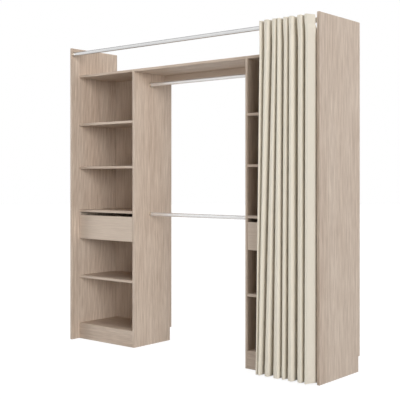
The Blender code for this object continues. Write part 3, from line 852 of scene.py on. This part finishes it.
class WARDROBE_OT_add_curtain_loops(bpy.types.Operator):
    """Sew the loops behind the heading that carry the curtain on its rod"""

    bl_idname = "wardrobe.add_curtain_loops"
    bl_label = "Add Curtain Loops"

    def execute(self, context):
        band = linen_material("loop_band", context.scene.wardrobe_cloth, pitch_scale=1.3, shade_share=0.05)
        sewn_y = HEADING_BACK_Y + LOOP_SEWN_DEPTH
        arc = [math.radians(angle) for angle in range(LOOP_WRAP, -LOOP_WRAP - 1, -10)]
        ring = [(ROD_Y + LOOP_RADIUS * math.cos(a), ROD_Z + LOOP_RADIUS * math.sin(a)) for a in arc]
        path = [(sewn_y, ROD_Z + LOOP_SEWN_RISE), *ring, (sewn_y, ROD_Z - LOOP_SEWN_RISE)]
        steps = [math.dist(a, b) for a, b in zip(path, path[1:])]
        lengths = [sum(steps[:count]) for count in range(len(path))]
        inner = LOOP_HALF_WIDTH - LOOP_SELVEDGE
        columns = (-LOOP_HALF_WIDTH, -inner, 0, inner, LOOP_HALF_WIDTH)
        for number, (tip, group) in enumerate(LOOPS, start=1):
            inset = {0: LOOP_HALF_WIDTH, FOLDS: -LOOP_HALF_WIDTH}.get(tip, 0)
            middle = stack_x(TIPS_TOP[tip], TIPS_BOTTOM[tip], ROD_Z) + inset

            def place(across, step):
                y, z = path[step]
                return Vector((middle + across, y, z)), (across + tip, lengths[step])

            bm = laid_grid(columns, range(len(path)), place)
            piece = add_piece(f"curtain_loop_{number}", bm, band)
            thicken(piece, LOOP_THICKNESS)
            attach(piece, f"upper_folds_{group}")
        return {"FINISHED"}


# ---------------------------------------- boards


VERTICAL_BOARDS = ("side_panel", "inner_panel")
LEVEL_BOARDS = ("bottom_board", "top_board", "shelf_1", "shelf_2", "shelf_3", "shelf_4", "plinth")
DRAWER_BOARDS = (("front", "X"), ("left_side", "Y"), ("right_side", "Y"), ("back", "X"))

# How far a board's front is paled: on the drawer fronts and the rail this is painted light, paling them to
# look more brightly lit, and on the other boards a plain paler front; the first name that fits counts, and
# the last fits them all
PALE_FRONTS_AND_PAINTED_LIGHT = (("side_panel", 0), ("drawer_front", 0.6), ("rail", 0.6), ("", 0.15))


def board_offset(number):
    """Moves the pattern on, so that no two boards are cut from the same place."""
    return tuple(round(math.fmod(number * step, 1.0) * 7, 4) for step in (0.6180, 0.7549, 0.5698))


class WARDROBE_OT_finish_boards(bpy.types.Operator):
    """Give every board its oak decor, with its grain along its length"""

    bl_idname = "wardrobe.finish_boards"
    bl_label = "Finish Boards"

    def execute(self, context):
        oak = context.scene.wardrobe_oak
        raw = build_raw_chipboard
        boards = [("bay_top_board", "X", raw, None), ("bay_back_rail", "X", None, raw)]
        for side in ("left", "right"):
            boards += [(f"{side}_{name}", "Z", raw, raw) for name in VERTICAL_BOARDS]
            boards += [(f"{side}_{name}", "X", None, None) for name in LEVEL_BOARDS]
            boards += [(f"{side}_drawer_{name}", grain, None, None) for name, grain in DRAWER_BOARDS]
            boards += [(f"{side}_back_panel", "Z", build_hardboard, None)]
            boards += [(f"{side}_drawer_bottom", "Y", None, build_hardboard)]
        for number, (node, grain, rear, under) in enumerate(boards, start=1):
            front_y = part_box(node)[0].y
            arches = 0.45 if number % 3 == 0 else 0.1
            # The front's paling, which is painted light on the drawer fronts and the rail
            pale = next(share for part, share in PALE_FRONTS_AND_PAINTED_LIGHT if part in node)
            paint(node, board_material(
                f"{node}_decor", oak, grain, board_offset(number), front_y, arches, pale, rear, under
            ))
        return {"FINISHED"}


# ---------------------------------------- metal


class WARDROBE_OT_finish_metal(bpy.types.Operator):
    """Give the tubes, sockets and runners their metal"""

    bl_idname = "wardrobe.finish_metal"
    bl_label = "Finish Metal"

    def execute(self, context):
        chrome = tube_material("chrome_rail", 0.24, 0.65)
        rod = tube_material("chrome_rod", 0.16, 1.0, srgb(236, 236, 236), (0.12, 0.12, 0.12))
        cast = tube_material("satin_socket", 0.38, 0.85, srgb(208, 197, 184))
        zinc = zinc_material("zinc_runner")
        for node in NODES:
            if node.endswith("_socket"):
                paint(node, cast)
            elif node == "curtain_rod":
                paint(node, rod)
            elif node in ("upper_rail", "lower_rail"):
                paint(node, chrome)
            elif "_runner_" in node:
                paint(node, zinc)
        return {"FINISHED"}


def cross_head(bm, radius, height, matrix):
    """A domed screw head with a cross recess, standing on the XY plane before the matrix is applied."""
    segments = 12
    rings = []
    for share, z in ((1.0, 0.0), (1.0, height * 0.35), (0.86, height * 0.8), (0.58, height)):
        made = bmesh.ops.create_circle(bm, segments=segments, radius=radius * share)["verts"]
        bmesh.ops.translate(bm, vec=(0, 0, z), verts=made)
        rings.append(made)
    arm, slot = radius * 0.48, radius * 0.11
    corners = [(arm, slot), (slot, slot), (slot, arm)]
    for _ in range(3):
        corners += [(-y, x) for x, y in corners[-3:]]
    for z in (height * 0.98, height * 0.30):
        made = bmesh.ops.create_circle(bm, segments=segments, radius=radius * 0.3)["verts"]
        ordered = sorted(made, key=lambda vert: math.atan2(vert.co.y, vert.co.x) % math.tau)
        for vert, corner in zip(ordered, corners):
            vert.co = (*corner, z)
        rings.append(made)
    for low, high in zip(rings, rings[1:]):
        edges = [e for e in bm.edges if set(e.verts) <= set(low) or set(e.verts) <= set(high)]
        bmesh.ops.bridge_loops(bm, edges=edges)
    bm.faces.new(rings[0])
    bm.faces.new(rings[-1])
    verts = [vert for ring in rings for vert in ring]
    bmesh.ops.transform(bm, matrix=matrix, verts=verts)


class WARDROBE_OT_add_screws(bpy.types.Operator):
    """Screw the drawer runners down and pin the tube sockets"""

    bl_idname = "wardrobe.add_screws"
    bl_label = "Add Screws"

    def execute(self, context):
        steel = zinc_material("zinc_screw")
        for node in sorted(NODES):
            low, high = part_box(node)
            middle = (low + high) / 2
            if "_runner_" in node:
                hand = -1 if node.endswith("left") else 1
                toward = -hand if "cabinet" in node else hand
                body = "carcass" if "cabinet" in node else node.split("_")[0] + "_drawer"
                slot, head, direction = "runner_steel", RUNNER_SCREW, (toward, 0, 0)
                x = (low.x if toward > 0 else high.x) + toward * RUNNER_SCREW_SEAT
                front, rear = RUNNER_SCREW_ENDS
                places = [(x, y, middle.z) for y in (low.y + front, middle.y, high.y - rear)]
            elif node.endswith("_socket"):
                body, slot, head, direction = "carcass", "socket_metal", SOCKET_PIN, (0, 0, -1)
                places = [(middle.x, middle.y, low.z + SOCKET_PIN_SEAT)]
            else:
                continue
            bm = bmesh.new()
            turn = Vector(direction).to_track_quat("Z", "Y").to_matrix().to_4x4()
            for place in places:
                cross_head(bm, *head, Matrix.Translation(place) @ turn)
            bmesh.ops.recalc_face_normals(bm, faces=bm.faces)
            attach(add_piece(f"{node}_screws", bm, steel), body)
        return {"FINISHED"}


# ---------------------------------------- stage


class WARDROBE_OT_set_stage(bpy.types.Operator):
    """Lay a pale floor, set soft studio light and place the camera"""

    bl_idname = "wardrobe.set_stage"
    bl_label = "Set Stage"

    def execute(self, context):
        settings = context.scene.wardrobe_stage
        context.scene.view_settings.view_transform = "Standard"
        self.add_floor(settings)
        self.add_sky(context, settings)
        self.add_lamp("key_light", azimuth=60, rise=7, spread=34, strength=settings.key)
        side = self.add_lamp("side_light", azimuth=-61, rise=6, spread=30, strength=settings.side)
        side.visible_glossy = False  # its glare would wash out the dark lines on the rod
        self.add_lamp("back_light", azimuth=185, rise=20, spread=60, strength=settings.back)
        self.add_lamp("overhead_light", azimuth=0, rise=90, spread=38, strength=settings.over)
        self.add_camera(context)
        return {"FINISHED"}

    def seen(self, w):
        """Whether a ray from the camera, gloss or glass sees the backdrop, and all the rays' kinds."""
        rays = w.node("ShaderNodeLightPath").outputs
        bare = w.math("MAXIMUM", rays["Is Camera Ray"], rays["Is Transmission Ray"])
        return w.math("MAXIMUM", bare, rays["Is Glossy Ray"]), rays

    def add_floor(self, settings):
        bm = bmesh.new()
        bmesh.ops.create_circle(bm, cap_ends=True, segments=96, radius=30)
        mesh = bpy.data.meshes.new("floor")
        bm.to_mesh(mesh)
        bm.free()
        floor = bpy.data.objects.new("floor", mesh)
        bpy.context.scene.collection.objects.link(floor)
        material = bpy.data.materials.new("pale_floor")
        w = cleared(material)
        seen, rays = self.seen(w)
        colour = w.blend(seen, tuple(settings.floor), (0.96, 0.96, 0.96))
        matt = w.node("ShaderNodeBsdfDiffuse", {"Color": colour}).outputs[0]
        level = w.either(rays["Is Glossy Ray"], 1.12, 0.85)
        white = w.node("ShaderNodeEmission", {"Color": (1, 1, 1, 1), "Strength": level}).outputs[0]
        mixed = w.node("ShaderNodeMixShader", {0: w.math("MULTIPLY", seen, 0.8), 1: matt, 2: white})
        w.node("ShaderNodeOutputMaterial", {"Surface": mixed.outputs[0]})
        mesh.materials.append(material)

    def add_sky(self, context, settings):
        world = bpy.data.worlds.new("studio")
        w = cleared(world)
        seen, rays = self.seen(w)
        _, ahead, up = w.parts(w.node("ShaderNodeTexCoord").outputs["Generated"])
        ceiling = w.remap(up, 0.80, 0.92, 1.0, 0.15)
        wall = w.math("MULTIPLY", w.remap(ahead, 0.05, 0.35), w.remap(up, 0.0, 0.25))
        shown = w.math("MULTIPLY", ceiling, w.math("MULTIPLY_ADD", wall, -0.45, 1.0))
        glossy = w.node("ShaderNodeCombineColor", {"Red": shown, "Green": shown, "Blue": shown}).outputs[0]
        backdrop = w.blend(rays["Is Glossy Ray"], (1, 1, 1), glossy)
        colour = w.blend(seen, (settings.sky,) * 3, backdrop)
        sky = w.node("ShaderNodeBackground", {"Color": colour, "Strength": 1.0})
        w.node("ShaderNodeOutputWorld", {"Surface": sky.outputs[0]})
        context.scene.world = world

    def add_lamp(self, name, azimuth, rise, spread, strength):
        """A far, soft light: azimuth from straight ahead of the wardrobe to its right, rise over level."""
        lamp = bpy.data.lights.new(name, "SUN")
        lamp.angle = math.radians(spread)
        lamp.energy = strength
        obj = bpy.data.objects.new(name, lamp)
        obj.rotation_euler = (math.radians(90 - rise), 0, math.radians(azimuth))
        bpy.context.scene.collection.objects.link(obj)
        return obj

    def add_camera(self, context):
        """The photograph's view: level, from the right, 4.5 m to 6.2 m from the wardrobe's corners."""
        camera = bpy.data.cameras.new("camera")
        camera.sensor_width = SENSOR_WIDTH
        camera.lens = FOCAL_LENGTH / IMAGE_SIZE * SENSOR_WIDTH
        camera.shift_y = (EYE_LEVEL_ROW - IMAGE_SIZE / 2) / IMAGE_SIZE
        obj = bpy.data.objects.new("camera", camera)
        obj.location = CAMERA_PLACE
        obj.rotation_euler = (math.radians(90), 0, math.radians(CAMERA_TURN))
        bpy.context.scene.collection.objects.link(obj)
        context.scene.camera = obj


# ---------------------------------------- panel and registration


OPERATORS = (
    WARDROBE_OT_set_stage,
    WARDROBE_OT_finish_boards,
    WARDROBE_OT_finish_metal,
    WARDROBE_OT_add_curtain_loops,
    WARDROBE_OT_add_curtain,
    WARDROBE_OT_add_screws,
)
SETTINGS = (
    ("wardrobe_oak", WARDROBE_PG_oak),
    ("wardrobe_cloth", WARDROBE_PG_cloth),
    ("wardrobe_stage", WARDROBE_PG_stage),
)


class WARDROBE_PT_pieces(bpy.types.Panel):
    """Settings and pieces of the curtain wardrobe"""

    bl_idname = "WARDROBE_PT_pieces"
    bl_label = "Curtain Wardrobe"
    bl_space_type = "VIEW_3D"
    bl_region_type = "UI"
    bl_category = "Wardrobe"

    def draw(self, context):
        for name, group in SETTINGS:
            box = self.layout.box()
            for setting in group.__annotations__:
                box.prop(getattr(context.scene, name), setting)
        for operator in OPERATORS:
            self.layout.operator(operator.bl_idname)


CLASSES = (*(group for _, group in SETTINGS), *OPERATORS, WARDROBE_PT_pieces)


def register():
    for cls in CLASSES:
        bpy.utils.register_class(cls)
    for name, group in SETTINGS:
        setattr(bpy.types.Scene, name, bpy.props.PointerProperty(type=group))


def unregister():
    for name, _ in SETTINGS:
        delattr(bpy.types.Scene, name)
    for cls in reversed(CLASSES):
        bpy.utils.unregister_class(cls)


def main():
    register()
    for name in ("Cube", "Light", "Camera"):
        if name in bpy.data.objects:
            bpy.data.objects.remove(bpy.data.objects[name])
    bpy.ops.wardrobe.set_stage()
    bpy.ops.wardrobe.finish_boards()
    bpy.ops.wardrobe.finish_metal()
    bpy.ops.wardrobe.add_curtain_loops()
    bpy.ops.wardrobe.add_curtain()
    bpy.ops.wardrobe.add_screws()


if __name__ == "__main__":
    main()
